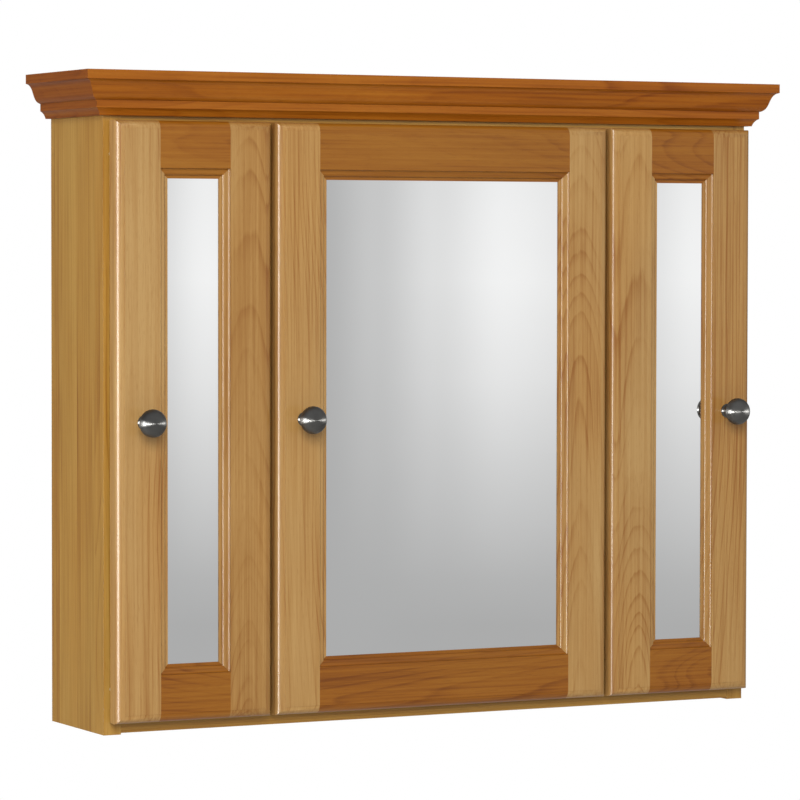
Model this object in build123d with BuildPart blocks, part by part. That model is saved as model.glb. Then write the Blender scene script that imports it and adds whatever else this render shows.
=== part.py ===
from build123d import *
import os

# Wall-hung bathroom medicine cabinet with three mirrored doors, in millimetres.
# The origin is the centre of the four wall screws, in the plane of the wall.
# X runs to the right, Y into the wall, Z up; the doors face -Y.

# ---------------------------------------------------------------- driving dimensions

# Carcass of solid boards
board = 19.05
cabinet_width = 762.0
cabinet_depth = 139.7
side_height = 671.0
bottom_lift = 1.6
compartment_top_height = 615.0

# Back and the two cleats that take the wall screws
back_thickness = 6.35
groove_depth = 6.0
cleat_thickness = 12.7
cleat_height = 57.15
wall_screw_spacing = 609.6
wall_screw_radius = 2.5

# Crown moulding, measured outwards and upwards from its lower edge on the carcass
crown_base_height = 630.7
crown_foot = 6.2
crown_foot_rise = 7.8
crown_foot_start_angle = 75.0
crown_foot_end_angle = 24.0
crown_fillet_reach = 12.0
crown_fillet_rise = 7.7
crown_curve_start_angle = 12.0
crown_curve_end_angle = 10.0
crown_reach = 28.2
crown_ogee_rise = 20.6
crown_cap_rise = 9.5

# Doors: stiles and rails, rounded over outside, with a thinner ogee round the mirror
door_thickness = 19.05
door_bottom_height = 13.0
door_top_height = 626.0
door_standoff = 5.0
side_reveal = 5.0
door_gap = 5.4
centre_door_width = 392.4
frame_width = 58.7
edge_step = 0.5
edge_round_radius = 8.5
sticking_width = 10.5
sticking_depth = 7.6
sticking_step = 0.8
sticking_radius = 3.0
sticking_fillet = 3.2
rebate_width = 7.0

# Mirror, its backing board and the clips that hold both in the rebate
mirror_thickness = 3.0
mirror_clearance = 1.0
backing_thickness = 3.2
clip_width = 14.0
clip_thickness = 1.0
clip_foot = 14.0
clip_toe = 5.0
clip_gap = 0.5

# Shelves and shelf pins
shelf_thickness = 12.7
shelf_depth = 104.0
shelf_end_clearance = 1.0
shelf_back_clearance = 1.0
shelf_heights = (215.0, 415.0)
pin_radius = 2.5
pin_length = 18.0
pin_hole_depth = 9.5
pin_front_setback = 18.0
pin_back_setback = 18.0
pin_spare_pitch = 32.0

# Knob, a turned mushroom on a flared neck
knob_edge_distance = 30.0
knob_base_radius = 7.6
knob_neck_radius = 5.8
knob_head_radius = 14.4
knob_base_rise = 1.5
knob_neck_rise = 5.5
knob_rim_rise = 20.5
knob_rim_height = 0.8
knob_projection = 31.0
knob_tap_radius = 2.0
knob_hole_clearance = 0.3
knob_tap_depth = 14.0
knob_screw_head_radius = 4.5
knob_screw_head_height = 2.4
knob_screw_bite = 8.0

# Concealed hinge: a cup let into the door, a cranked arm and a plate on the partition
hinge_end_distance = 88.0
cup_outer_radius = 17.4
cup_wall = 1.0
cup_depth = 13.0
cup_edge_distance = 21.0
cup_seat_clearance = 0.1
flange_thickness = 1.2
flange_height = 62.0
flange_width = 15.0
flange_offset = 7.5
flange_screw_spacing = 48.0
pivot_edge_distance = 8.5
pivot_depth = 9.0
pivot_pin_radius = 1.5
pivot_pin_clearance = 0.05
pivot_pin_length = 14.8
ear_pin_clearance = 0.01
knuckle_radius = 2.9
arm_thickness = 1.3
arm_width = 10.0
arm_crank_radius = 13.4
arm_crank_angle = 75.0
arm_length = 46.0
ear_thickness = 2.0
ear_clearance = 0.4
ear_reach = 3.6
plate_setback = 10.0
plate_length = 44.0
plate_width = 12.0
arm_screw_setback = 41.0
wing_length = 12.0
wing_height = 50.0
wing_thickness = 2.0
wing_screw_spacing = 32.0

# Screws
screw_radius = 1.75
screw_head_radius = 3.4
screw_head_height = 1.6
screw_bite = 8.5
pilot_clearance = 0.05

screw_length = 10.5
recess_length = 3.6
recess_width = 0.9
recess_depth = 0.9

# Door buffers
buffer_radius = 3.0
buffer_thickness = 4.9
buffer_end_distance = 34.0

# ---------------------------------------------------------------- derived places

half_width = cabinet_width / 2
joint_width = frame_width - sticking_width
compartment_bottom_height = bottom_lift + board
lower_screw_height = compartment_bottom_height + cleat_height / 2
upper_screw_height = compartment_top_height - cleat_height / 2
wall_screw_rise = upper_screw_height - lower_screw_height
foot_z = -(lower_screw_height + upper_screw_height) / 2

wall_y = 0.0
front_y = -cabinet_depth
back_panel_y = -cleat_thickness
back_panel_front_y = back_panel_y - back_thickness
door_back_y = front_y - door_standoff
door_front_y = door_back_y - door_thickness
pivot_y = door_back_y - pivot_depth

side_inner_x = half_width - board
centre_door_half = centre_door_width / 2
partition_x = centre_door_half + door_gap / 2
partition_inner_x = partition_x - board / 2
partition_outer_x = partition_x + board / 2

compartment_bottom_z = foot_z + compartment_bottom_height
compartment_top_z = foot_z + compartment_top_height
crown_base_z = foot_z + crown_base_height
door_bottom_z = foot_z + door_bottom_height
door_top_z = foot_z + door_top_height
door_height = door_top_z - door_bottom_z
door_middle_z = (door_bottom_z + door_top_z) / 2
plate_middle_y = front_y + plate_setback + plate_length / 2
arm_screw_y = front_y + arm_screw_setback
hinge_zs = (door_bottom_z + hinge_end_distance, door_top_z - hinge_end_distance)

# Each door: its left and right edges, the side it hangs from (+1 is its right edge)
# and the partition face that its hinge plates are screwed to.
doors = {
    "left": (-half_width + side_reveal, -centre_door_half - door_gap, 1, -partition_outer_x),
    "centre": (-centre_door_half, centre_door_half, 1, partition_inner_x),
    "right": (centre_door_half + door_gap, half_width - side_reveal, -1, partition_outer_x),
}
bays = {
    "left": (-side_inner_x, -partition_outer_x),
    "centre": (-partition_inner_x, partition_inner_x),
    "right": (partition_outer_x, side_inner_x),
}

os.makedirs("parts", exist_ok=True)


def save(piece, label):
    """Label a finished piece and write it as its own node."""
    piece.part.label = label
    export_step(piece.part, "parts/" + label + ".step")


def slab(low, high):
    """A rectangular board from its lowest to its highest corner."""
    centre = ((low[0] + high[0]) / 2, (low[1] + high[1]) / 2)
    with BuildPart() as piece:
        with BuildSketch(Plane.XY.offset(low[2])):
            with Locations(centre):
                Rectangle(high[0] - low[0], high[1] - low[1])
        extrude(amount=high[2] - low[2])
    return piece


def heading(angle):
    """The direction that climbs at an angle from level in a drawn section."""
    return Vector(1, 0).rotate(Axis.Z, angle)


def facing(x, y, z, direction):
    """A plane at a point whose normal is the given direction, with Z up in it."""
    return Plane(origin=(x, y, z), x_dir=Vector(0, 0, 1), z_dir=direction)


# ---------------------------------------------------------------- carcass

wall_screw_places = [
    (side * wall_screw_spacing / 2, level * wall_screw_rise / 2)
    for side in (-1, 1)
    for level in (-1, 1)
]
pin_rows_y = (front_y + pin_front_setback, back_panel_front_y - pin_back_setback)
pin_places = [
    (y, foot_z + height - pin_radius + step * pin_spare_pitch)
    for y in pin_rows_y
    for height in shelf_heights
    for step in (-1, 0, 1)
]


def drill_pin_holes(face_x, out):
    """Rows of blind shelf-pin holes in an upright's face, whose outward side is given."""
    for y, z in pin_places:
        with Locations(facing(face_x, y, z, (out, 0, 0))):
            Hole(radius=pin_radius + pilot_clearance, depth=pin_hole_depth)


def drill_plate_holes(face_x, out):
    """Pilot holes in a partition's face for the screws of its hinge plates and arms."""
    for hinge_z in hinge_zs:
        places = [
            facing(face_x, arm_screw_y, hinge_z, (out, 0, 0)),
            facing(face_x, plate_middle_y, hinge_z - wing_screw_spacing / 2, (out, 0, 0)),
            facing(face_x, plate_middle_y, hinge_z + wing_screw_spacing / 2, (out, 0, 0)),
        ]
        with Locations(*places):
            Hole(radius=screw_radius + pilot_clearance, depth=screw_bite)


for name, side in (("side_left", -1), ("side_right", 1)):
    inner_x = side * side_inner_x
    outer_x = side * half_width
    blank = slab(
        (min(inner_x, outer_x), front_y, foot_z),
        (max(inner_x, outer_x), wall_y, foot_z + side_height),
    )
    groove_x = side * (side_inner_x + groove_depth)
    groove = slab(
        (min(inner_x, groove_x), back_panel_front_y, compartment_bottom_z),
        (max(inner_x, groove_x), back_panel_y, compartment_top_z),
    )
    with BuildPart() as upright:
        add(blank.part)
        add(groove.part, mode=Mode.SUBTRACT)
        drill_pin_holes(inner_x, -side)
    save(upright, name)

bottom_panel = slab(
    (-side_inner_x, front_y, foot_z + bottom_lift),
    (side_inner_x, wall_y, compartment_bottom_z),
)
save(bottom_panel, "bottom_panel")

top_panel = slab(
    (-side_inner_x, front_y, compartment_top_z),
    (side_inner_x, wall_y, compartment_top_z + board),
)
save(top_panel, "top_panel")

with BuildPart() as back_panel:
    add(
        slab(
            (-side_inner_x - groove_depth, back_panel_front_y, compartment_bottom_z),
            (side_inner_x + groove_depth, back_panel_y, compartment_top_z),
        ).part
    )
    with BuildSketch(Plane.XZ.offset(-back_panel_y)):
        with Locations(*wall_screw_places):
            Circle(wall_screw_radius)
    extrude(amount=back_thickness, mode=Mode.SUBTRACT)
save(back_panel, "back_panel")

for name, level in (("lower_cleat", -1), ("upper_cleat", 1)):
    screw_z = level * wall_screw_rise / 2
    with BuildPart() as cleat:
        add(
            slab(
                (-side_inner_x, back_panel_y, screw_z - cleat_height / 2),
                (side_inner_x, wall_y, screw_z + cleat_height / 2),
            ).part
        )
        with BuildSketch(Plane.XZ.offset(-wall_y)):
            with Locations((-wall_screw_spacing / 2, screw_z), (wall_screw_spacing / 2, screw_z)):
                Circle(wall_screw_radius)
        extrude(amount=cleat_thickness, mode=Mode.SUBTRACT)
    save(cleat, name)

for name, side in (("partition_left", -1), ("partition_right", 1)):
    with BuildPart() as partition:
        add(
            slab(
                (side * partition_x - board / 2, front_y, compartment_bottom_z),
                (side * partition_x + board / 2, back_panel_front_y, compartment_top_z),
            ).part
        )
        for face_x, out in ((side * partition_inner_x, -side), (side * partition_outer_x, side)):
            drill_pin_holes(face_x, out)
            if any(hung_from == face_x for _, _, _, hung_from in doors.values()):
                drill_plate_holes(face_x, out)
    save(partition, name)

# ---------------------------------------------------------------- crown moulding

crown_rail = slab(
    (-side_inner_x, front_y, compartment_top_z + board),
    (side_inner_x, front_y + board, foot_z + side_height),
)
save(crown_rail, "crown_rail")

crown_start = Plane(origin=(-half_width, wall_y, crown_base_z), x_dir=(-1, 0, 0), z_dir=(0, 1, 0))
with BuildSketch(crown_start) as crown_section:
    with BuildLine():
        foot = Line((0, 0), (crown_foot, 0))
        cove = Spline(
            foot @ 1,
            (crown_fillet_reach, crown_foot_rise),
            tangents=(heading(crown_foot_start_angle), heading(crown_foot_end_angle)),
        )
        fillet_top = crown_foot_rise + crown_fillet_rise
        fillet = Line(cove @ 1, (crown_fillet_reach, fillet_top))
        ogee_top = fillet_top + crown_ogee_rise
        ogee = Spline(
            fillet @ 1,
            ((crown_fillet_reach + crown_reach) / 2, (fillet_top + ogee_top) / 2),
            (crown_reach, ogee_top),
            tangents=(heading(crown_curve_start_angle), heading(crown_curve_end_angle)),
        )
        Polyline(
            ogee @ 1,
            (crown_reach, ogee_top + crown_cap_rise),
            (0, ogee_top + crown_cap_rise),
            (0, 0),
        )
    make_face()

with BuildPart() as crown_ring:
    with BuildLine(Plane.XY.offset(crown_base_z)) as crown_path:
        Polyline(
            (-half_width, wall_y),
            (-half_width, front_y),
            (half_width, front_y),
            (half_width, wall_y),
        )
    add(crown_section.sketch)
    sweep(path=crown_path.line, transition=Transition.RIGHT)

mitre = 2 * crown_reach
crown_plans = {
    "crown_front": (
        (-half_width, front_y),
        (half_width, front_y),
        (half_width + mitre, front_y - mitre),
        (-half_width - mitre, front_y - mitre),
    ),
    "crown_return_left": (
        (-half_width, front_y),
        (-half_width - mitre, front_y - mitre),
        (-half_width - mitre, wall_y),
        (-half_width, wall_y),
    ),
    "crown_return_right": (
        (half_width, front_y),
        (half_width, wall_y),
        (half_width + mitre, wall_y),
        (half_width + mitre, front_y - mitre),
    ),
}
for name, plan in crown_plans.items():
    with BuildPart() as moulding:
        add(crown_ring.part)
        with BuildSketch(Plane.XY.offset(crown_base_z)):
            with BuildLine():
                Polyline(*plan, close=True)
            make_face()
        extrude(amount=2 * mitre, mode=Mode.INTERSECT)
    save(moulding, name)

# ---------------------------------------------------------------- shelves and their pins

shelf_back_y = back_panel_front_y - shelf_back_clearance
for bay, (bay_left, bay_right) in bays.items():
    for level, height in zip(("lower", "upper"), shelf_heights):
        shelf_z = foot_z + height
        shelf = slab(
            (bay_left + shelf_end_clearance, shelf_back_y - shelf_depth, shelf_z),
            (bay_right - shelf_end_clearance, shelf_back_y, shelf_z + shelf_thickness),
        )
        save(shelf, "shelf_" + bay + "_" + level)

pin_starts = [
    facing(face_x - out * pin_length / 2, y, foot_z + height - pin_radius, (out, 0, 0))
    for bay_left, bay_right in bays.values()
    for face_x, out in ((bay_left, 1), (bay_right, -1))
    for y in pin_rows_y
    for height in shelf_heights
]
with BuildPart() as shelf_pins:
    with Locations(*pin_starts):
        Cylinder(pin_radius, pin_length, align=(Align.CENTER, Align.CENTER, Align.MIN))
save(shelf_pins, "shelf_pins")

# ---------------------------------------------------------------- screws


def screw_group(seats):
    """Identical round-head screws; each seat is a plane under the head that faces outwards."""
    with BuildPart() as screws:
        with Locations(*seats):
            Cylinder(screw_radius, screw_length, align=(Align.CENTER, Align.CENTER, Align.MAX))
            Cylinder(screw_head_radius, screw_head_height, align=(Align.CENTER, Align.CENTER, Align.MIN))
        tops = [seat.offset(screw_head_height) for seat in seats]
        with Locations(*tops):
            Box(recess_length, recess_width, 2 * recess_depth, mode=Mode.SUBTRACT)
            Box(recess_width, recess_length, 2 * recess_depth, mode=Mode.SUBTRACT)
    return screws


# ---------------------------------------------------------------- doors


def edge_plane(x, z, inward):
    """Section plane of a frame member: its X runs inwards over the face, its Y to the back."""
    return Plane(origin=(x, door_front_y, z), x_dir=inward, z_dir=Vector(inward).cross(Vector(0, 1, 0)))


def back_plane(x, y, z):
    """A plane at a point behind a door, facing the wall."""
    return Plane(origin=(x, y, z), z_dir=(0, 1, 0))


def draw_round_over():
    """Draw the rounded outer edge of a door, from a small step in its face to its side."""
    step = Line((edge_round_radius, 0), (edge_round_radius, edge_step))
    return JernArc(step @ 1, (-1, 0), edge_round_radius, -90) @ 1


def frame_stock(section_plane, length):
    """A straight length of frame stock: rounded over outside, moulded and rebated inside."""
    bead_end = frame_width - sticking_fillet
    rebate_x = frame_width - rebate_width
    ledge_depth = sticking_depth - sticking_step
    with BuildPart() as stock:
        with BuildSketch(section_plane):
            with BuildLine():
                edge_end = draw_round_over()
                Polyline(
                    edge_end,
                    (0, door_thickness),
                    (rebate_x, door_thickness),
                    (rebate_x, sticking_depth),
                    (frame_width, sticking_depth),
                    (frame_width, ledge_depth),
                    (bead_end, ledge_depth),
                )
                bead = JernArc((bead_end, ledge_depth), (0, -1), sticking_radius, -90)
                hollow_start = (joint_width + sticking_radius, (bead @ 1).Y)
                Line(bead @ 1, hollow_start)
                hollow = JernArc(hollow_start, (-1, 0), sticking_radius, 90)
                Polyline(hollow @ 1, (joint_width, 0), (edge_round_radius, 0))
            make_face()
        extrude(amount=length)
    return stock


def mitre_sticking(section_plane, length, mitre_start):
    """Cut a member's sticking at 45 degrees at both ends, and clear what lies beyond the cut."""
    face = Plane(origin=section_plane.origin, x_dir=section_plane.x_dir, z_dir=(0, -1, 0))
    reach = 2 * frame_width
    for end, step in ((0, 1), (length, -1)):
        with BuildSketch(face) as waste:
            with BuildLine():
                Polyline(
                    (joint_width, end + step * mitre_start),
                    (reach, end + step * (mitre_start + reach - joint_width)),
                    (reach, end - step * frame_width),
                    (joint_width, end - step * frame_width),
                    close=True,
                )
            make_face()
        extrude(waste.sketch, amount=2 * door_thickness, both=True, mode=Mode.SUBTRACT)


def mould_end(end_plane):
    """Carry the rounded outer edge across the end of a stile."""
    with BuildSketch(end_plane) as waste:
        with BuildLine():
            edge_end = draw_round_over()
            Polyline(
                edge_end,
                (-edge_round_radius, edge_end.Y),
                (-edge_round_radius, -edge_round_radius),
                (edge_round_radius, -edge_round_radius),
                (edge_round_radius, 0),
            )
        make_face()
    extrude(waste.sketch, amount=2 * frame_width, both=True, mode=Mode.SUBTRACT)


def stile_blank(section_plane, edge_x):
    """A full-height stile, notched where the rails butt against it."""
    with BuildPart() as blank:
        add(frame_stock(section_plane, door_height).part)
        mitre_sticking(section_plane, door_height, joint_width)
        mould_end(edge_plane(edge_x, door_bottom_z, (0, 0, 1)))
        mould_end(edge_plane(edge_x, door_top_z, (0, 0, -1)))
    return blank


def rail_blank(section_plane, length):
    """A rail between the stiles, with its sticking mitred into theirs."""
    with BuildPart() as blank:
        add(frame_stock(section_plane, length).part)
        mitre_sticking(section_plane, length, 0)
    return blank


def turned_knob(knob_x):
    """A mushroom knob turned about the door's normal, drilled for its machine screw."""
    seat = Plane(origin=(knob_x, door_front_y, door_middle_z), x_dir=(1, 0, 0), z_dir=(0, 0, -1))
    with BuildPart() as knob:
        with BuildSketch(seat):
            with BuildLine():
                foot = Polyline((0, 0), (knob_base_radius, 0), (knob_base_radius, knob_base_rise))
                neck = Spline(
                    foot @ 1,
                    (knob_neck_radius, knob_neck_rise),
                    tangents=((-1, 0.5), (0.1, 1)),
                )
                flare = Spline(
                    neck @ 1,
                    (knob_head_radius, knob_rim_rise),
                    tangents=((0.1, 1), (1, 0.5)),
                )
                rim = Line(flare @ 1, (knob_head_radius, knob_rim_rise + knob_rim_height))
                dome = Spline(rim @ 1, (0, knob_projection), tangents=((0, 1), (-1, 0)))
                Line(dome @ 1, (0, 0))
            make_face()
        revolve(axis=Axis((knob_x, door_front_y, door_middle_z), (0, 1, 0)))
        with Locations(back_plane(knob_x, door_front_y, door_middle_z)):
            Hole(radius=knob_tap_radius + pilot_clearance, depth=knob_tap_depth)
    return knob


def knob_machine_screw(knob_x):
    """The pan-head machine screw that comes through the stile into the knob."""
    with BuildPart() as screw:
        with Locations(back_plane(knob_x, door_back_y, door_middle_z)):
            Cylinder(
                knob_tap_radius,
                door_thickness + knob_screw_bite,
                align=(Align.CENTER, Align.CENTER, Align.MAX),
            )
            Cylinder(
                knob_screw_head_radius,
                knob_screw_head_height,
                align=(Align.CENTER, Align.CENTER, Align.MIN),
            )
    return screw


def clip_planes(left_x, right_x):
    """Section planes of the mirror clips: two on each stile and one on each rail."""
    middle_x = (left_x + right_x) / 2
    quarter = door_height / 4
    on_stiles = [
        edge_plane(x, door_middle_z + step * quarter, (inward, 0, 0))
        for x, inward in ((left_x, 1), (right_x, -1))
        for step in (-1, 1)
    ]
    on_rails = [
        edge_plane(middle_x, door_bottom_z, (0, 0, 1)),
        edge_plane(middle_x, door_top_z, (0, 0, -1)),
    ]
    return on_stiles + on_rails


def mirror_clips(planes):
    """Offset clips: a foot on the frame's back and a toe down on the backing board."""
    wall = frame_width - rebate_width + clip_gap
    toe_depth = sticking_depth + mirror_thickness + backing_thickness
    with BuildPart() as clips:
        for plane in planes:
            with BuildSketch(plane) as section:
                with BuildLine():
                    Polyline(
                        (wall - clip_foot, door_thickness),
                        (wall, door_thickness),
                        (wall, toe_depth),
                        (wall + clip_toe, toe_depth),
                        (wall + clip_toe, toe_depth + clip_thickness),
                        (wall + clip_thickness, toe_depth + clip_thickness),
                        (wall + clip_thickness, door_thickness + clip_thickness),
                        (wall - clip_foot, door_thickness + clip_thickness),
                        close=True,
                    )
                make_face()
            extrude(section.sketch, amount=clip_width / 2, both=True)
        with Locations(*[clip_seat(plane) for plane in planes]):
            Hole(radius=screw_radius + pilot_clearance)
    return clips


def clip_seat(plane):
    """The seat of a clip's screw, on the foot's back."""
    reach = frame_width - rebate_width + clip_gap - clip_foot / 2
    centre = plane.from_local_coords(Vector(reach, door_thickness + clip_thickness, 0))
    return Plane(origin=centre, x_dir=plane.x_dir, z_dir=(0, 1, 0))


def hinge_cups(cup_x, pivot_x, inward):
    """The two cups of a door: a flanged well with two ears that hold the pivot pin."""
    centres = [(cup_x, hinge_z) for hinge_z in hinge_zs]
    flange_places = [(cup_x + inward * flange_offset, hinge_z) for hinge_z in hinge_zs]
    well_depth = flange_thickness + cup_depth - cup_seat_clearance - cup_wall
    ear_middle = arm_width / 2 + ear_clearance + ear_thickness / 2
    ear_places = [(pivot_x, hinge_z + step * ear_middle) for hinge_z in hinge_zs for step in (-1, 1)]
    ear_back_y = pivot_y + ear_reach
    with BuildPart() as cups:
        with BuildSketch(Plane.XZ.offset(-door_back_y - flange_thickness)) as flange:
            with Locations(*centres):
                Circle(cup_outer_radius + cup_wall)
            with Locations(*flange_places):
                Rectangle(flange_width, flange_height)
        extrude(flange.sketch, amount=flange_thickness)
        with BuildSketch(Plane.XZ.offset(-door_back_y)) as shell:
            with Locations(*centres):
                Circle(cup_outer_radius)
        extrude(shell.sketch, amount=cup_depth - cup_seat_clearance)
        with BuildSketch(Plane.XZ.offset(-door_back_y - flange_thickness)) as well:
            with Locations(*centres):
                Circle(cup_outer_radius - cup_wall)
        extrude(well.sketch, amount=well_depth, mode=Mode.SUBTRACT)
        with BuildSketch(Plane.XZ.offset(-ear_back_y)) as ears:
            with Locations(*ear_places):
                Rectangle(2 * ear_reach, ear_thickness)
            with BuildSketch(Plane.XZ.offset(-ear_back_y), mode=Mode.PRIVATE) as inside:
                with Locations(*centres):
                    Circle(cup_outer_radius - cup_wall / 2)
            add(inside.sketch, mode=Mode.INTERSECT)
        extrude(ears.sketch, amount=ear_back_y - door_back_y + well_depth - flange_thickness)
        for hinge_z in hinge_zs:
            with Locations(Plane(origin=(pivot_x, pivot_y, hinge_z))):
                Cylinder(pivot_pin_radius + ear_pin_clearance, pivot_pin_length, mode=Mode.SUBTRACT)
        screw_seats = [
            back_plane(x, door_back_y + flange_thickness, z + step * flange_screw_spacing / 2)
            for x, z in flange_places
            for step in (-1, 1)
        ]
        with Locations(*screw_seats):
            Hole(radius=screw_radius + pilot_clearance, depth=flange_thickness)
    return cups


def make_door(name, left_x, right_x, hung):
    """Write every piece of one door; hung is +1 where it hangs from its right edge."""
    inward = -hung
    hinge_edge_x, knob_edge_x = (right_x, left_x) if hung > 0 else (left_x, right_x)
    knob_x = knob_edge_x + hung * knob_edge_distance
    cup_x = hinge_edge_x + inward * cup_edge_distance
    pivot_x = hinge_edge_x + inward * pivot_edge_distance
    flange_x = cup_x + inward * flange_offset
    clips_at = clip_planes(left_x, right_x)
    cup_seats = [
        back_plane(flange_x, door_back_y + flange_thickness, z + step * flange_screw_spacing / 2)
        for z in hinge_zs
        for step in (-1, 1)
    ]
    seats = cup_seats + [clip_seat(plane) for plane in clips_at]
    prefix = name + "_door_"

    stiles = (
        ("left", left_x, edge_plane(left_x, door_bottom_z, (1, 0, 0))),
        ("right", right_x, edge_plane(right_x, door_top_z, (-1, 0, 0))),
    )
    for side, edge_x, section_plane in stiles:
        stile_seats = [seat for seat in seats if abs(seat.origin.X - edge_x) < frame_width]
        with BuildPart() as stile:
            add(stile_blank(section_plane, edge_x).part)
            with Locations(*stile_seats):
                Hole(radius=screw_radius + pilot_clearance, depth=screw_length)
            if edge_x == hinge_edge_x:
                for hinge_z in hinge_zs:
                    with Locations(back_plane(cup_x, door_back_y, hinge_z)):
                        Hole(radius=cup_outer_radius + cup_seat_clearance, depth=cup_depth)
            else:
                with Locations(back_plane(knob_x, door_back_y, door_middle_z)):
                    Hole(radius=knob_tap_radius + knob_hole_clearance, depth=door_thickness)
        save(stile, prefix + "stile_" + side)

    rails = (
        ("bottom", door_bottom_z, edge_plane(right_x - joint_width, door_bottom_z, (0, 0, 1))),
        ("top", door_top_z, edge_plane(left_x + joint_width, door_top_z, (0, 0, -1))),
    )
    rail_length = right_x - left_x - 2 * joint_width
    for side, edge_z, section_plane in rails:
        rail_seats = [seat for seat in seats if abs(seat.origin.Z - edge_z) < frame_width]
        with BuildPart() as rail:
            add(rail_blank(section_plane, rail_length).part)
            with Locations(*rail_seats):
                Hole(radius=screw_radius + pilot_clearance, depth=screw_length)
        save(rail, prefix + "rail_" + side)

    inset = frame_width - rebate_width + mirror_clearance
    mirror_y = door_front_y + sticking_depth
    backing_y = mirror_y + mirror_thickness
    mirror = slab(
        (left_x + inset, mirror_y, door_bottom_z + inset),
        (right_x - inset, backing_y, door_top_z - inset),
    )
    save(mirror, prefix + "mirror")
    backing = slab(
        (left_x + inset, backing_y, door_bottom_z + inset),
        (right_x - inset, backing_y + backing_thickness, door_top_z - inset),
    )
    save(backing, prefix + "backing")
    save(mirror_clips(clips_at), prefix + "mirror_clips")
    save(turned_knob(knob_x), prefix + "knob")
    save(knob_machine_screw(knob_x), prefix + "knob_screw")
    save(hinge_cups(cup_x, pivot_x, inward), prefix + "hinge_cups")
    with BuildPart() as pivot_pins:
        with Locations(*[Plane(origin=(pivot_x, pivot_y, z)) for z in hinge_zs]):
            Cylinder(pivot_pin_radius, pivot_pin_length)
    save(pivot_pins, prefix + "hinge_pins")
    save(screw_group(seats), prefix + "screws")


for name, (left_x, right_x, hung, _) in doors.items():
    make_door(name, left_x, right_x, hung)

# ---------------------------------------------------------------- hinge arms and plates

arm_end = Vector(arm_crank_radius, 0).rotate(Axis.Z, arm_crank_angle)
arm_outer = arm_end.X + arm_thickness / 2
arm_inner = arm_end.X - arm_thickness / 2
partition_reach = pivot_edge_distance - (board - door_gap) / 2
plate_start = front_y - pivot_y + plate_setback


def pivot_plane(pivot_x, hinge_z, inward, height):
    """Plan plane of a hinge: origin on the pivot, X into the door, Y to the wall."""
    return Plane(
        origin=(pivot_x, pivot_y, hinge_z - inward * height / 2),
        x_dir=(inward, 0, 0),
        z_dir=(0, 0, inward),
    )


hinges = [
    ((right_x if hung > 0 else left_x) - hung * pivot_edge_distance, hinge_z, -hung, face_x)
    for left_x, right_x, hung, face_x in doors.values()
    for hinge_z in hinge_zs
]

wing_rise = wing_screw_spacing / 2
wing_seats = [
    facing(face_x + inward * wing_thickness, plate_middle_y, hinge_z + step * wing_rise, (inward, 0, 0))
    for _, hinge_z, inward, face_x in hinges
    for step in (-1, 1)
]
arm_seats = [
    facing(pivot_x + inward * arm_outer, arm_screw_y, hinge_z, (inward, 0, 0))
    for pivot_x, hinge_z, inward, _ in hinges
]

with BuildPart() as hinge_arms:
    for pivot_x, hinge_z, inward, _ in hinges:
        with BuildSketch(pivot_plane(pivot_x, hinge_z, inward, arm_width)) as arm:
            with BuildLine() as centre_line:
                Line((knuckle_radius - arm_thickness / 2, 0), (arm_crank_radius, 0))
                crank = CenterArc((0, 0), arm_crank_radius, 0, arm_crank_angle)
                Line(crank @ 1, crank @ 1 + Vector(0, arm_length))
            trace(centre_line.line, line_width=arm_thickness)
            Circle(knuckle_radius)
            Circle(pivot_pin_radius + pivot_pin_clearance, mode=Mode.SUBTRACT)
        extrude(amount=arm_width)
    with Locations(*arm_seats):
        Hole(radius=screw_radius + pilot_clearance, depth=arm_thickness)
save(hinge_arms, "hinge_arms")

with BuildPart() as hinge_plates:
    for pivot_x, hinge_z, inward, _ in hinges:
        with BuildSketch(pivot_plane(pivot_x, hinge_z, inward, plate_width)):
            with Locations(((arm_inner - partition_reach) / 2, plate_start + plate_length / 2)):
                Rectangle(arm_inner + partition_reach, plate_length)
        extrude(amount=plate_width)
        with BuildSketch(pivot_plane(pivot_x, hinge_z, inward, wing_height)):
            with Locations((wing_thickness / 2 - partition_reach, plate_start + plate_length / 2)):
                Rectangle(wing_thickness, wing_length)
        extrude(amount=wing_height)
    with Locations(*(wing_seats + arm_seats)):
        Hole(radius=screw_radius + pilot_clearance, depth=screw_length)
save(hinge_plates, "hinge_plates")

save(screw_group(wing_seats + arm_seats), "hinge_screws")

# ---------------------------------------------------------------- door buffers

buffer_xs = (
    -(half_width + side_inner_x) / 2,
    -(centre_door_half + partition_inner_x) / 2,
    (half_width + side_inner_x) / 2,
)
buffer_zs = (door_bottom_z + buffer_end_distance, door_top_z - buffer_end_distance)
buffer_seats = [Plane(origin=(x, front_y, z), z_dir=(0, -1, 0)) for x in buffer_xs for z in buffer_zs]
with BuildPart() as door_buffers:
    with Locations(*buffer_seats):
        Cylinder(buffer_radius, buffer_thickness, align=(Align.CENTER, Align.CENTER, Align.MIN))
save(door_buffers, "door_buffers")
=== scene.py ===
import math

import bpy
from mathutils import Matrix, Vector


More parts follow.
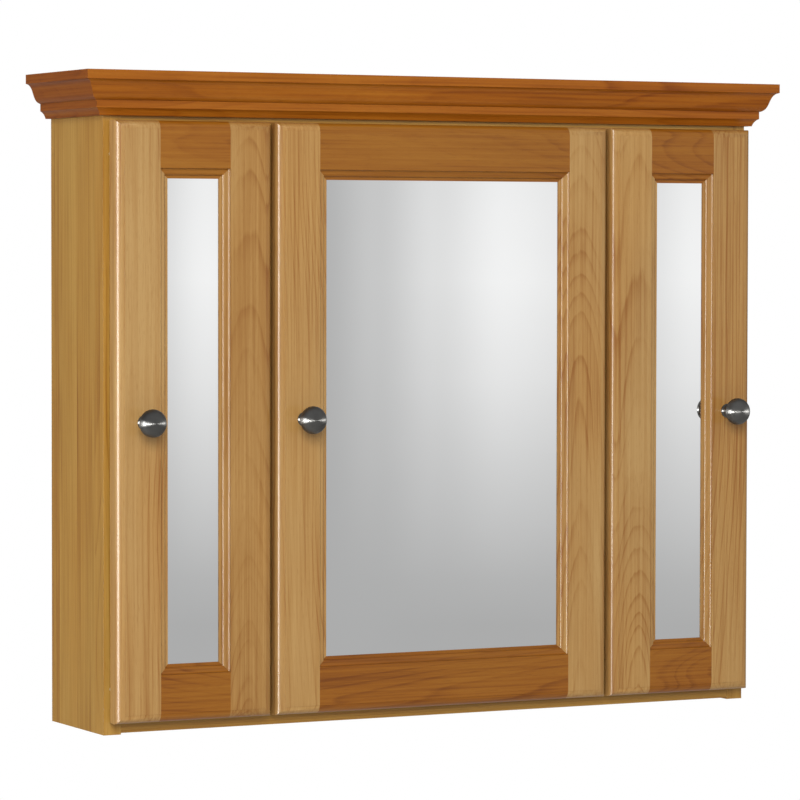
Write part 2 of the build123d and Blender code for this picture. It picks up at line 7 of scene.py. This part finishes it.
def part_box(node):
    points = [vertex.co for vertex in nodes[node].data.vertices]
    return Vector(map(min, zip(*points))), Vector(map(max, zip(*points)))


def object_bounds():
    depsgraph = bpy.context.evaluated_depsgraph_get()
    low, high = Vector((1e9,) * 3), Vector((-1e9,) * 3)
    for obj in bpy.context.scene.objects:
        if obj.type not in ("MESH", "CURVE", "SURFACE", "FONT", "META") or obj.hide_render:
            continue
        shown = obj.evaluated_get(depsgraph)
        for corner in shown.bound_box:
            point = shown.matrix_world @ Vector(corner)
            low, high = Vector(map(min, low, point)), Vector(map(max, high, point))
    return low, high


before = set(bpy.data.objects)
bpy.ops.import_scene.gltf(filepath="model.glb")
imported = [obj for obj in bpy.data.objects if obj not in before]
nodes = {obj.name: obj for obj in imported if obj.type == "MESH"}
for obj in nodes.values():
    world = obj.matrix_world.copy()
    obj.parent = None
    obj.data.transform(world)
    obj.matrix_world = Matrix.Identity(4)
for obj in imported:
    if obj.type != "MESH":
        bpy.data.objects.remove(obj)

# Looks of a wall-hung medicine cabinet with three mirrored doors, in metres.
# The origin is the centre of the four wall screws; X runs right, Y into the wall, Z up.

cad_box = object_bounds()
scene = bpy.context.scene
scene.view_settings.view_transform = "Standard"

DOORS = ("left", "centre", "right")
AXES = "XYZ"

# Softening of the wooden pieces' edges, with angles in degrees
WELD_REACH = 1e-6
FLAT_ANGLE = 0.5
SHARP_ANGLE = 50
EDGE_SEGMENTS = 2
FACE_WEIGHT = 60


def linear(red, green, blue):
    """A display colour, 0 to 255, as the linear colour that a shader takes."""
    channels = [c / 255 for c in (red, green, blue)]
    return tuple(c / 12.92 if c <= 0.04045 else ((c + 0.055) / 1.055) ** 2.4 for c in channels) + (1,)


# ---------------------------------------------------------------- node graphs


class Graph:
    """A material's or world's node tree, with short calls for the nodes used here."""

    def __init__(self, tree):
        self.tree = tree
        tree.nodes.clear()

    def node(self, kind, settings=None, **inputs):
        made = self.tree.nodes.new(kind)
        for name, value in (settings or {}).items():
            setattr(made, name, value)
        for name, value in inputs.items():
            self.feed(made.inputs[name.replace("_", " ")], value)
        return made

    def feed(self, socket, value):
        if isinstance(value, bpy.types.NodeSocket):
            self.tree.links.new(value, socket)
        else:
            socket.default_value = value

    def math(self, operation, first, second=0.0, clamp=False):
        made = self.tree.nodes.new("ShaderNodeMath")
        made.operation = operation
        made.use_clamp = clamp
        self.feed(made.inputs[0], first)
        self.feed(made.inputs[1], second)
        return made.outputs[0]

    def vector(self, operation, first, second=(0, 0, 0)):
        made = self.tree.nodes.new("ShaderNodeVectorMath")
        made.operation = operation
        self.feed(made.inputs[0], first)
        self.feed(made.inputs[1], second)
        return made.outputs["Value"] if operation in ("LENGTH", "DOT_PRODUCT") else made.outputs[0]

    def combine(self, x, y, z):
        return self.node("ShaderNodeCombineXYZ", X=x, Y=y, Z=z).outputs[0]

    def noise(self, vector, scale, detail=2.0, seed=(0, 0, 0)):
        """Noise at a scale per axis, in cycles a metre."""
        spread = self.vector("ADD", self.vector("MULTIPLY", vector, scale), seed)
        return self.node("ShaderNodeTexNoise", Vector=spread, Scale=1.0, Detail=detail).outputs[0]

    def ramp(self, factor, stops, interpolation="LINEAR"):
        made = self.node("ShaderNodeValToRGB", Fac=factor)
        elements = made.color_ramp.elements
        made.color_ramp.interpolation = interpolation
        while len(elements) < len(stops):
            elements.new(1.0)
        for element, (place, colour) in zip(elements, stops):
            element.position = place
            element.color = colour if len(colour) == 4 else (*colour, 1)
        return made.outputs[0]

    def level(self, factor, low, high, out_low=0.0, out_high=1.0, smooth=False):
        made = self.node("ShaderNodeMapRange", Value=factor)
        made.interpolation_type = "SMOOTHSTEP" if smooth else "LINEAR"
        limits = {"From Min": low, "From Max": high, "To Min": out_low, "To Max": out_high}
        for name, value in limits.items():
            made.inputs[name].default_value = value
        return made.outputs[0]

    def mix(self, factor, first, second, blend="MIX"):
        made = self.tree.nodes.new("ShaderNodeMix")
        made.data_type = "RGBA"
        made.blend_type = blend
        self.feed(made.inputs["Factor"], factor)
        self.feed(made.inputs[6], first)
        self.feed(made.inputs[7], second)
        return made.outputs[2]


def material(name):
    made = bpy.data.materials.new(name)
    made.use_nodes = True
    return made, Graph(made.node_tree)


def surface(graph, normal=None, **inputs):
    """End a material with a Principled shader whose sockets are named in inputs."""
    shader = graph.node("ShaderNodeBsdfPrincipled")
    for name, value in inputs.items():
        graph.feed(shader.inputs[name.replace("_", " ")], value)
    if normal is not None:
        graph.feed(shader.inputs["Normal"], normal)
    out = graph.node("ShaderNodeOutputMaterial")
    graph.tree.links.new(shader.outputs[0], out.inputs["Surface"])
    return shader


def dress(name, made):
    """Give a CAD node its finished material."""
    for slot in nodes[name].material_slots:
        slot.material = made


def ease(name, width):
    """Take the sharpness off a CAD node's edges, by a width in metres."""
    piece = nodes[name]
    joined = piece.modifiers.new("join", "WELD")
    joined.merge_threshold = WELD_REACH
    flat = piece.modifiers.new("flat", "DECIMATE")
    flat.decimate_type = "DISSOLVE"
    flat.angle_limit = math.radians(FLAT_ANGLE)
    eased = piece.modifiers.new("ease", "BEVEL")
    eased.width = width
    eased.segments = EDGE_SEGMENTS
    eased.limit_method = "ANGLE"
    eased.angle_limit = math.radians(SHARP_ANGLE)
    shading = piece.modifiers.new("shading", "WEIGHTED_NORMAL")
    shading.weight = FACE_WEIGHT


# ---------------------------------------------------------------- wood

# Each finish: light wood, middle, dark line of the year ring, as display colours
FINISHES = {
    "stile": ((184, 146, 90), (174, 133, 77), (148, 99, 46)),
    "warm": ((176, 134, 76), (163, 119, 62), (140, 90, 38)),
    "rail": ((156, 100, 26), (145, 88, 17), (117, 64, 8)),
    "crown": ((168, 101, 24), (156, 88, 15), (124, 62, 6)),
    # return: the crown's side returns, darker than the crown front, partly darker wood and partly painted
    # shade on the side-facing returns
    "return": ((150, 86, 16), (138, 72, 8), (108, 50, 4)),
    "side": ((184, 142, 68), (173, 129, 56), (146, 98, 34)),
    "inner": ((188, 152, 98), (171, 131, 76), (138, 96, 50)),
    "ply": ((198, 168, 118), (183, 151, 101), (154, 116, 70)),
}
RING = 0.0042  # width of a year ring, in metres

# How dark a year is, from its pale early wood to its dark late line
RING_TONES = ((0.0, (0, 0, 0)), (0.62, (0.08,) * 3), (0.9, (0.9,) * 3), (1.0, (0, 0, 0)))

# Fineness of each part of the figure: cycles a metre across, deep and along the grain
GRAIN = {
    "warp": (7, 7, 1.7),
    "bend": (0.6, 0.6, 2.3),
    "fine": (70, 70, 5),
    "fibre": (430, 430, 6),
    "streak": (190, 190, 2.4),
    "mottle": (16, 16, 5),
    "pores": (1900, 1900, 85),
    "shown": (20, 20, 3),
    "amber": (11, 11, 2.4),
}
BAND_WEIGHT = 0.75
FIBRE_WEIGHT = 1.35
STREAK_WEIGHT = 0.7
MOTTLE_WEIGHT = 0.8
AMBER_TINT = (1.0, 0.93, 0.8, 1)


def wood(name, along, finish, seed, pith=(0.0, 0.05), lean=0.0, strip=0.0, edge=0.0005, coat=0.5):
    """Solid wood for one board: year rings about a pith line that runs with the grain.

    pith is where that line passes the board's centre, across its face and behind it;
    lean is how fast it nears the face; strip is the width of edge-glued strips.
    """
    made, g = material(name + "_wood")
    low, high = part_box(name)
    size = high - low
    length_axis = AXES.index(along)
    cross = sorted((i for i in range(3) if i != length_axis), key=lambda i: size[i])
    deep_axis, across_axis = cross
    place = g.node("ShaderNodeTexCoord")
    local = g.vector("SUBTRACT", place.outputs["Object"], tuple((low + high) / 2))
    parts = g.node("ShaderNodeSeparateXYZ", Vector=local).outputs
    across, deep, length = parts[across_axis], parts[deep_axis], parts[length_axis]
    seed_vector = (seed * 7.31, seed * 3.17, seed * 5.71)

    tone = 0.0
    if strip:
        index = g.math("FLOOR", g.math("DIVIDE", across, strip))
        draw = g.math("ADD", index, seed)
        lottery = g.node("ShaderNodeTexWhiteNoise", {"noise_dimensions": "1D"}, W=draw)
        pick = lottery.outputs["Value"]
        across = g.math("ADD", across, g.math("MULTIPLY", pick, 0.37))
        length = g.math("ADD", length, g.math("MULTIPLY", pick, 3.1))
        tone = g.math("MULTIPLY", g.math("SUBTRACT", pick, 0.5), 0.42)
    grain = g.combine(across, deep, length)

    warp = g.math("SUBTRACT", g.noise(grain, GRAIN["warp"], seed=seed_vector), 0.5)
    bend = g.math("SUBTRACT", g.noise(grain, GRAIN["bend"], 1.0, seed_vector), 0.5)
    ring_across = g.math("ADD", g.math("SUBTRACT", across, pith[0]), g.math("MULTIPLY", warp, 0.012))
    ring_deep = g.math("ADD", g.math("SUBTRACT", deep, pith[1]), g.math("MULTIPLY", length, lean))
    ring_deep = g.math("ADD", ring_deep, g.math("MULTIPLY", bend, 0.05))
    radius = g.vector("LENGTH", g.combine(ring_across, ring_deep, 0.0))
    fine = g.math("SUBTRACT", g.noise(grain, GRAIN["fine"], 3.0, seed_vector), 0.5)
    years = g.math("ADD", g.math("DIVIDE", radius, RING), g.math("MULTIPLY", fine, 0.8))
    uneven = g.noise(g.combine(radius, 0.0, 0.0), (95, 1, 1), 1.0, seed_vector)
    years = g.math("ADD", years, g.math("MULTIPLY", uneven, 2.6))
    ring = g.ramp(g.math("FRACT", years), RING_TONES)
    band = g.noise(g.combine(g.math("MULTIPLY", years, 0.37), 0.0, 0.0), (1, 1, 1), 2.0, seed_vector)
    fibre = g.noise(grain, GRAIN["fibre"], 3.0, seed_vector)
    streak = g.noise(grain, GRAIN["streak"], 4.0, seed_vector)
    mottle = g.noise(grain, GRAIN["mottle"], 2.0, seed_vector)
    pores = g.level(g.noise(grain, GRAIN["pores"], 1.0, seed_vector), 0.60, 0.72)

    shown = g.level(g.noise(grain, GRAIN["shown"], 1.0, seed_vector), 0.4, 0.66, 0.12, 0.5)
    factor = g.math("MULTIPLY", ring, shown)
    figure = (
        (band, BAND_WEIGHT),
        (fibre, FIBRE_WEIGHT),
        (streak, STREAK_WEIGHT),
        (mottle, MOTTLE_WEIGHT),
    )
    for part, weight in figure:
        factor = g.math("ADD", factor, g.math("MULTIPLY", g.math("SUBTRACT", part, 0.5), weight))
    factor = g.math("ADD", g.math("ADD", factor, 0.34), tone, clamp=True)
    light, middle, dark = (linear(*c) for c in FINISHES[finish])
    colour = g.ramp(factor, ((0.0, light), (0.45, middle), (1.0, dark)))
    amber = g.level(g.noise(grain, GRAIN["amber"], 2.0, seed_vector), 0.42, 0.66, 0.0, 1.0)
    colour = g.mix(amber, colour, AMBER_TINT, "MULTIPLY")
    colour = g.mix(g.math("MULTIPLY", pores, 0.35), colour, dark)
    facing = g.node("ShaderNodeSeparateXYZ", Vector=place.outputs["Normal"]).outputs[length_axis]
    end_grain = g.level(g.math("ABSOLUTE", facing), 0.55, 0.95, 0.0, 0.35, smooth=True)
    colour = g.mix(end_grain, colour, dark)

    height = g.math("ADD", g.math("MULTIPLY", fibre, 0.7), g.math("MULTIPLY", ring, 0.25))
    height = g.math("SUBTRACT", height, g.math("MULTIPLY", pores, 0.6))
    bump = g.node("ShaderNodeBump", Strength=0.22, Distance=0.0003, Height=height)
    roughness = g.math("ADD", g.math("MULTIPLY", fibre, 0.16), 0.36)
    surface(
        g,
        bump.outputs[0],
        Base_Color=colour,
        Roughness=roughness,
        Specular_IOR_Level=0.15,
        Coat_Weight=coat,
        Coat_Roughness=0.2,
    )
    dress(name, made)
    ease(name, edge)


SHELF_SEED = 20
STILE_SEED = 40
RAIL_SEED = 60
ARRIS = 0.00015  # how far a door member's edges are eased, in metres

wood("side_left", "Z", "side", 1, pith=(0.02, 0.09), strip=0.048)
wood("side_right", "Z", "side", 2, pith=(-0.01, 0.08), strip=0.052)
wood("top_panel", "X", "side", 3, pith=(0.03, 0.06), strip=0.05)
wood("bottom_panel", "X", "side", 4, pith=(0.01, -0.07), strip=0.05)
wood("partition_left", "Z", "inner", 5, pith=(0.02, 0.09), strip=0.045)
wood("partition_right", "Z", "inner", 6, pith=(-0.02, 0.08), strip=0.045)
wood("lower_cleat", "X", "inner", 7, pith=(0.01, 0.05))
wood("upper_cleat", "X", "inner", 8, pith=(0.0, 0.06))
wood("back_panel", "Z", "ply", 9, pith=(0.05, 0.16), lean=0.02)
wood("crown_rail", "X", "inner", 10, pith=(0.0, 0.05))
wood("crown_front", "X", "crown", 11, pith=(0.02, 0.07), lean=0.01, edge=0.0002, coat=0.2)
# The crown returns take the return finish, whose darker colour is partly painted shade on their side faces
wood("crown_return_left", "Y", "return", 12, pith=(0.02, 0.06), lean=0.05, edge=0.0002, coat=0.2)
wood("crown_return_right", "Y", "return", 13, pith=(0.01, 0.06), lean=0.04, edge=0.0002, coat=0.2)
for number, bay in enumerate(DOORS):
    for level_number, level in enumerate(("lower", "upper")):
        shelf_seed = SHELF_SEED + 2 * number + level_number
        wood(f"shelf_{bay}_{level}", "X", "inner", shelf_seed, pith=(0.01, 0.07), strip=0.05)

# Stiles and rails of each door: finish, pith line and lean that give each its own figure
STILES = {
    "left_door_stile_left": ("stile", (0.055, 0.03), 0.02),
    "left_door_stile_right": ("warm", (0.0, 0.036), -0.10),
    "centre_door_stile_left": ("stile", (0.05, 0.035), 0.03),
    "centre_door_stile_right": ("stile", (-0.004, 0.034), -0.09),
    "right_door_stile_left": ("stile", (0.004, 0.036), -0.10),
    "right_door_stile_right": ("stile", (-0.04, 0.04), 0.03),
}
RAILS = {
    "left_door_rail_top": ((0.01, 0.05), 0.06),
    "left_door_rail_bottom": ((0.03, 0.04), 0.16),
    "centre_door_rail_top": ((0.02, 0.06), 0.03),
    "centre_door_rail_bottom": ((-0.02, 0.05), 0.04),
    "right_door_rail_top": ((0.01, 0.06), 0.05),
    "right_door_rail_bottom": ((-0.01, 0.05), 0.12),
}
for number, (name, (finish, pith, lean)) in enumerate(STILES.items()):
    wood(name, "Z", finish, STILE_SEED + number, pith, lean, edge=ARRIS)
for number, (name, (pith, lean)) in enumerate(RAILS.items()):
    wood(name, "X", "rail", RAIL_SEED + number, pith, lean, edge=ARRIS)


# ---------------------------------------------------------------- other materials


def object_place(graph):
    return graph.node("ShaderNodeTexCoord").outputs["Object"]


def silvered_glass():
    """Silvered float glass, with a trace of haze that changes over the pane."""
    made, g = material("silvered_glass")
    place = object_place(g)
    haze = g.noise(place, (9, 9, 9), 3.0)
    smear = g.noise(place, (140, 140, 30), 2.0)
    roughness = g.math("MULTIPLY", g.math("MULTIPLY", haze, smear), 0.03)
    tint = g.ramp(haze, ((0.3, (0.915, 0.92, 0.92)), (0.7, (0.93, 0.935, 0.935))))
    surface(g, Base_Color=tint, Metallic=1.0, Roughness=roughness)
    return made


def turned_nickel():
    """Satin nickel with the fine rings of lathe brushing."""
    made, g = material("turned_nickel")
    place = object_place(g)
    tarnish = g.noise(place, (60, 60, 60), 3.0)
    brushing = g.noise(place, (2600, 2600, 2600), 2.0)
    colour = g.ramp(tarnish, ((0.3, linear(98, 97, 95)), (0.7, linear(112, 111, 108))))
    roughness = g.math("ADD", g.math("MULTIPLY", brushing, 0.1), 0.27)
    tangent = g.node("ShaderNodeTangent", {"direction_type": "RADIAL", "axis": "Y"})
    surface(
        g,
        Base_Color=colour,
        Metallic=1.0,
        Roughness=roughness,
        Anisotropic=0.95,
        Anisotropic_Rotation=0.25,
        Tangent=tangent.outputs[0],
    )
    return made


STAIN_DARKNESS = 0.82


def plated_steel(name, tone, rough):
    """Nickel-plated pressed steel: rolled grain, faint stains."""
    made, g = material(name)
    place = object_place(g)
    stain = g.noise(place, (90, 90, 90), 3.0)
    rolled = g.noise(place, (300, 300, 2400), 2.0)
    light = linear(*tone)
    dark = linear(*(c * STAIN_DARKNESS for c in tone))
    colour = g.ramp(stain, ((0.3, dark), (0.7, light)))
    roughness = g.math("ADD", g.math("MULTIPLY", rolled, 0.16), rough)
    bump = g.node("ShaderNodeBump", Strength=0.1, Distance=0.0001, Height=rolled)
    surface(g, bump.outputs[0], Base_Color=colour, Metallic=1.0, Roughness=roughness)
    return made


def hardboard():
    """Brown fibreboard: fine felted fibres."""
    made, g = material("hardboard")
    place = object_place(g)
    felt = g.noise(place, (700, 700, 700), 4.0)
    cloud = g.noise(place, (30, 30, 30), 3.0)
    mixed = g.math("ADD", g.math("MULTIPLY", felt, 0.6), g.math("MULTIPLY", cloud, 0.4))
    colour = g.ramp(mixed, ((0.3, linear(104, 70, 44)), (0.7, linear(142, 102, 68))))
    bump = g.node("ShaderNodeBump", Strength=0.3, Distance=0.0003, Height=felt)
    surface(g, bump.outputs[0], Base_Color=colour, Roughness=0.72)
    return made


def bumper():
    """Clear, slightly milky soft plastic."""
    made, g = material("bumper")
    cloud = g.noise(object_place(g), (500, 500, 500), 2.0)
    colour = g.ramp(cloud, ((0.3, linear(206, 204, 196)), (0.7, linear(226, 224, 216))))
    roughness = g.math("ADD", g.math("MULTIPLY", cloud, 0.2), 0.25)
    surface(g, Base_Color=colour, Roughness=roughness, Transmission_Weight=0.5, IOR=1.48)
    return made


glass = silvered_glass()
nickel = turned_nickel()
steel = plated_steel("plated_steel", (190, 188, 182), 0.24)
zinc = plated_steel("zinc_screw", (176, 172, 160), 0.32)
fibreboard = hardboard()
for door in DOORS:
    dress(f"{door}_door_mirror", glass)
    dress(f"{door}_door_knob", nickel)
    dress(f"{door}_door_backing", fibreboard)
    for part in ("hinge_cups", "hinge_pins"):
        dress(f"{door}_door_{part}", steel)
    for part in ("mirror_clips", "screws", "knob_screw"):
        dress(f"{door}_door_{part}", zinc)
for name in ("hinge_arms", "hinge_plates", "shelf_pins"):
    dress(name, steel)
dress("hinge_screws", zinc)
dress("door_buffers", bumper())

# ---------------------------------------------------------------- camera

SENSOR_WIDTH = 36.0  # millimetres, as is the lens
CLIP_END = 200.0
CAMERA_PLACE = Vector((-1.9567, -3.8959, 0.1837))
CAMERA_YAW = 27.0
CAMERA_PITCH = -2.239
CAMERA_ROLL = 0.088
LENS = 180.14

camera_data = bpy.data.cameras.new("camera")
camera_data.sensor_width = SENSOR_WIDTH
camera_data.lens = LENS
camera_data.clip_end = CLIP_END
camera = bpy.data.objects.new("camera", camera_data)
scene.collection.objects.link(camera)
turn = Matrix.Rotation(math.radians(-CAMERA_YAW), 4, "Z")
tip = Matrix.Rotation(math.radians(90 + CAMERA_PITCH), 4, "X")
roll = Matrix.Rotation(math.radians(CAMERA_ROLL), 4, "Z")
camera.matrix_world = Matrix.Translation(CAMERA_PLACE) @ turn @ tip @ roll
scene.camera = camera

# ---------------------------------------------------------------- studio

FLOOR_DROP = 1.2
FLOOR_RADIUS = 6.0
FLOOR_SIDES = 96
FADE_START = 0.35
FADE_END = 0.95
AIM = Vector((0, -0.1, 0))


def studio_world():
    """Soft surround. In the mirrors it shows a grey room that brightens in three soft windows."""
    world = bpy.data.worlds.new("studio")
    world.use_nodes = True
    scene.world = world
    g = Graph(world.node_tree)
    direction = g.node("ShaderNodeTexCoord").outputs["Generated"]
    yaw = math.radians(CAMERA_YAW)
    sideways = g.vector("DOT_PRODUCT", direction, (math.cos(yaw), math.sin(yaw), 0))
    upward = g.vector("DOT_PRODUCT", direction, (0, 0, 1))
    grey = [(place, linear(tone, tone, tone)) for place, tone in (
        (0.0, 206), (0.16, 206), (0.26, 250), (0.40, 184), (0.47, 206), (0.545, 230),
        (0.63, 250), (0.72, 240), (0.80, 232), (0.87, 250), (1.0, 236),
    )]
    windows = g.ramp(g.level(sideways, -0.1, 0.1), grey, "EASE")
    upper = linear(196, 197, 199)
    dim = linear(122, 121, 120)
    ground = linear(178, 178, 178)
    rise = g.ramp(
        g.level(upward, -0.095, -0.009),
        tuple((p, (f, f, f)) for p, f in ((0.0, 0.0), (0.13, 0.09), (0.42, 0.43), (0.71, 0.77), (1.0, 1.0))),
    )
    lit = g.mix(rise, ground, windows)
    lit = g.mix(g.level(upward, -0.009, 0.12, smooth=True), lit, upper)
    behind = g.vector("DOT_PRODUCT", direction, (0, 1, 0))
    lit = g.mix(g.level(behind, -0.6, 0.1, smooth=True), lit, dim)
    camera_rays = g.node("ShaderNodeLightPath").outputs["Is Camera Ray"]
    shown = g.mix(camera_rays, lit, (1, 1, 1, 1))
    back = g.node("ShaderNodeBackground", Color=shown, Strength=1.0)
    out = g.node("ShaderNodeOutputWorld")
    g.tree.links.new(back.outputs[0], out.inputs["Surface"])


def pale_floor():
    """A pale matt floor that fades into the white surround at its rim."""
    low = cad_box[0]
    mesh = bpy.data.meshes.new("studio_floor")
    corners = []
    for i in range(FLOOR_SIDES):
        angle = math.tau * i / FLOOR_SIDES
        corners.append((FLOOR_RADIUS * math.cos(angle), FLOOR_RADIUS * math.sin(angle), low.z - FLOOR_DROP))
    mesh.from_pydata(corners, [], [tuple(range(FLOOR_SIDES))])
    floor = bpy.data.objects.new("studio_floor", mesh)
    scene.collection.objects.link(floor)
    made, g = material("studio_floor")
    place = object_place(g)
    distance = g.vector("LENGTH", g.vector("MULTIPLY", place, (1, 1, 0)))
    speckle = g.noise(place, (40, 40, 40), 3.0)
    colour = g.ramp(speckle, ((0.3, linear(236, 236, 235)), (0.7, linear(240, 240, 239))))
    seen = g.node("ShaderNodeLightPath").outputs["Is Camera Ray"]
    colour = g.mix(seen, linear(196, 195, 193), colour)
    matt = g.node("ShaderNodeBsdfDiffuse", Color=colour)
    glow = g.node("ShaderNodeEmission", Color=(1, 1, 1, 1), Strength=1.0)
    fade = g.level(distance, FADE_START * FLOOR_RADIUS, FADE_END * FLOOR_RADIUS, smooth=True)
    mixed = g.node("ShaderNodeMixShader")
    g.feed(mixed.inputs[0], g.math("MULTIPLY", fade, seen))
    g.tree.links.new(matt.outputs[0], mixed.inputs[1])
    g.tree.links.new(glow.outputs[0], mixed.inputs[2])
    out = g.node("ShaderNodeOutputMaterial")
    g.tree.links.new(mixed.outputs[0], out.inputs["Surface"])
    mesh.materials.append(made)


def receivers(name, names):
    """A collection of the pieces that a light is kept to."""
    made = bpy.data.collections.new(name)
    for piece in names:
        made.objects.link(nodes[piece])
    return made


def softbox(name, place, width, height, power, shine=False, only=None):
    """An area light aimed at the cabinet: it fills with soft light, or only adds shine."""
    data = bpy.data.lights.new(name, "AREA")
    data.shape = "RECTANGLE"
    data.size, data.size_y = width, height
    data.energy = power
    lamp = bpy.data.objects.new(name, data)
    lamp.location = place
    lamp.rotation_euler = (AIM - Vector(place)).to_track_quat("-Z", "Y").to_euler()
    lamp.visible_camera = False
    lamp.visible_diffuse = not shine
    lamp.visible_glossy = shine
    if only:
        lamp.light_linking.receiver_collection = only
    scene.collection.objects.link(lamp)


studio_world()
pale_floor()
softbox("key", (-1.9, -3.4, 1.3), 1.8, 1.8, 108)
softbox("left_fill", (-3.2, 0.2, 0.2), 1.2, 1.4, 30)
softbox("right_fill", (3.2, 0.4, 0.3), 1.2, 1.4, 16)
knobs = receivers("knobs", [n for n in nodes if n.endswith("knob")])
polished = receivers("polished", [n for n in nodes if not n.endswith("mirror")])
softbox("left_shine", (-3.0, -1.1, -0.1), 1.3, 1.4, 120, shine=True, only=polished)
softbox("knob_shine", (-1.9, -2.6, -0.2), 3.0, 0.16, 90, shine=True, only=knobs)
softbox("knob_glint", (2.6, -1.9, -0.1), 1.2, 0.16, 18, shine=True, only=knobs)
softbox("top", (0.3, 0.8, 2.6), 2.2, 1.4, 30)
softbox("back", (0.6, 3.6, 1.6), 2.4, 1.6, 60)
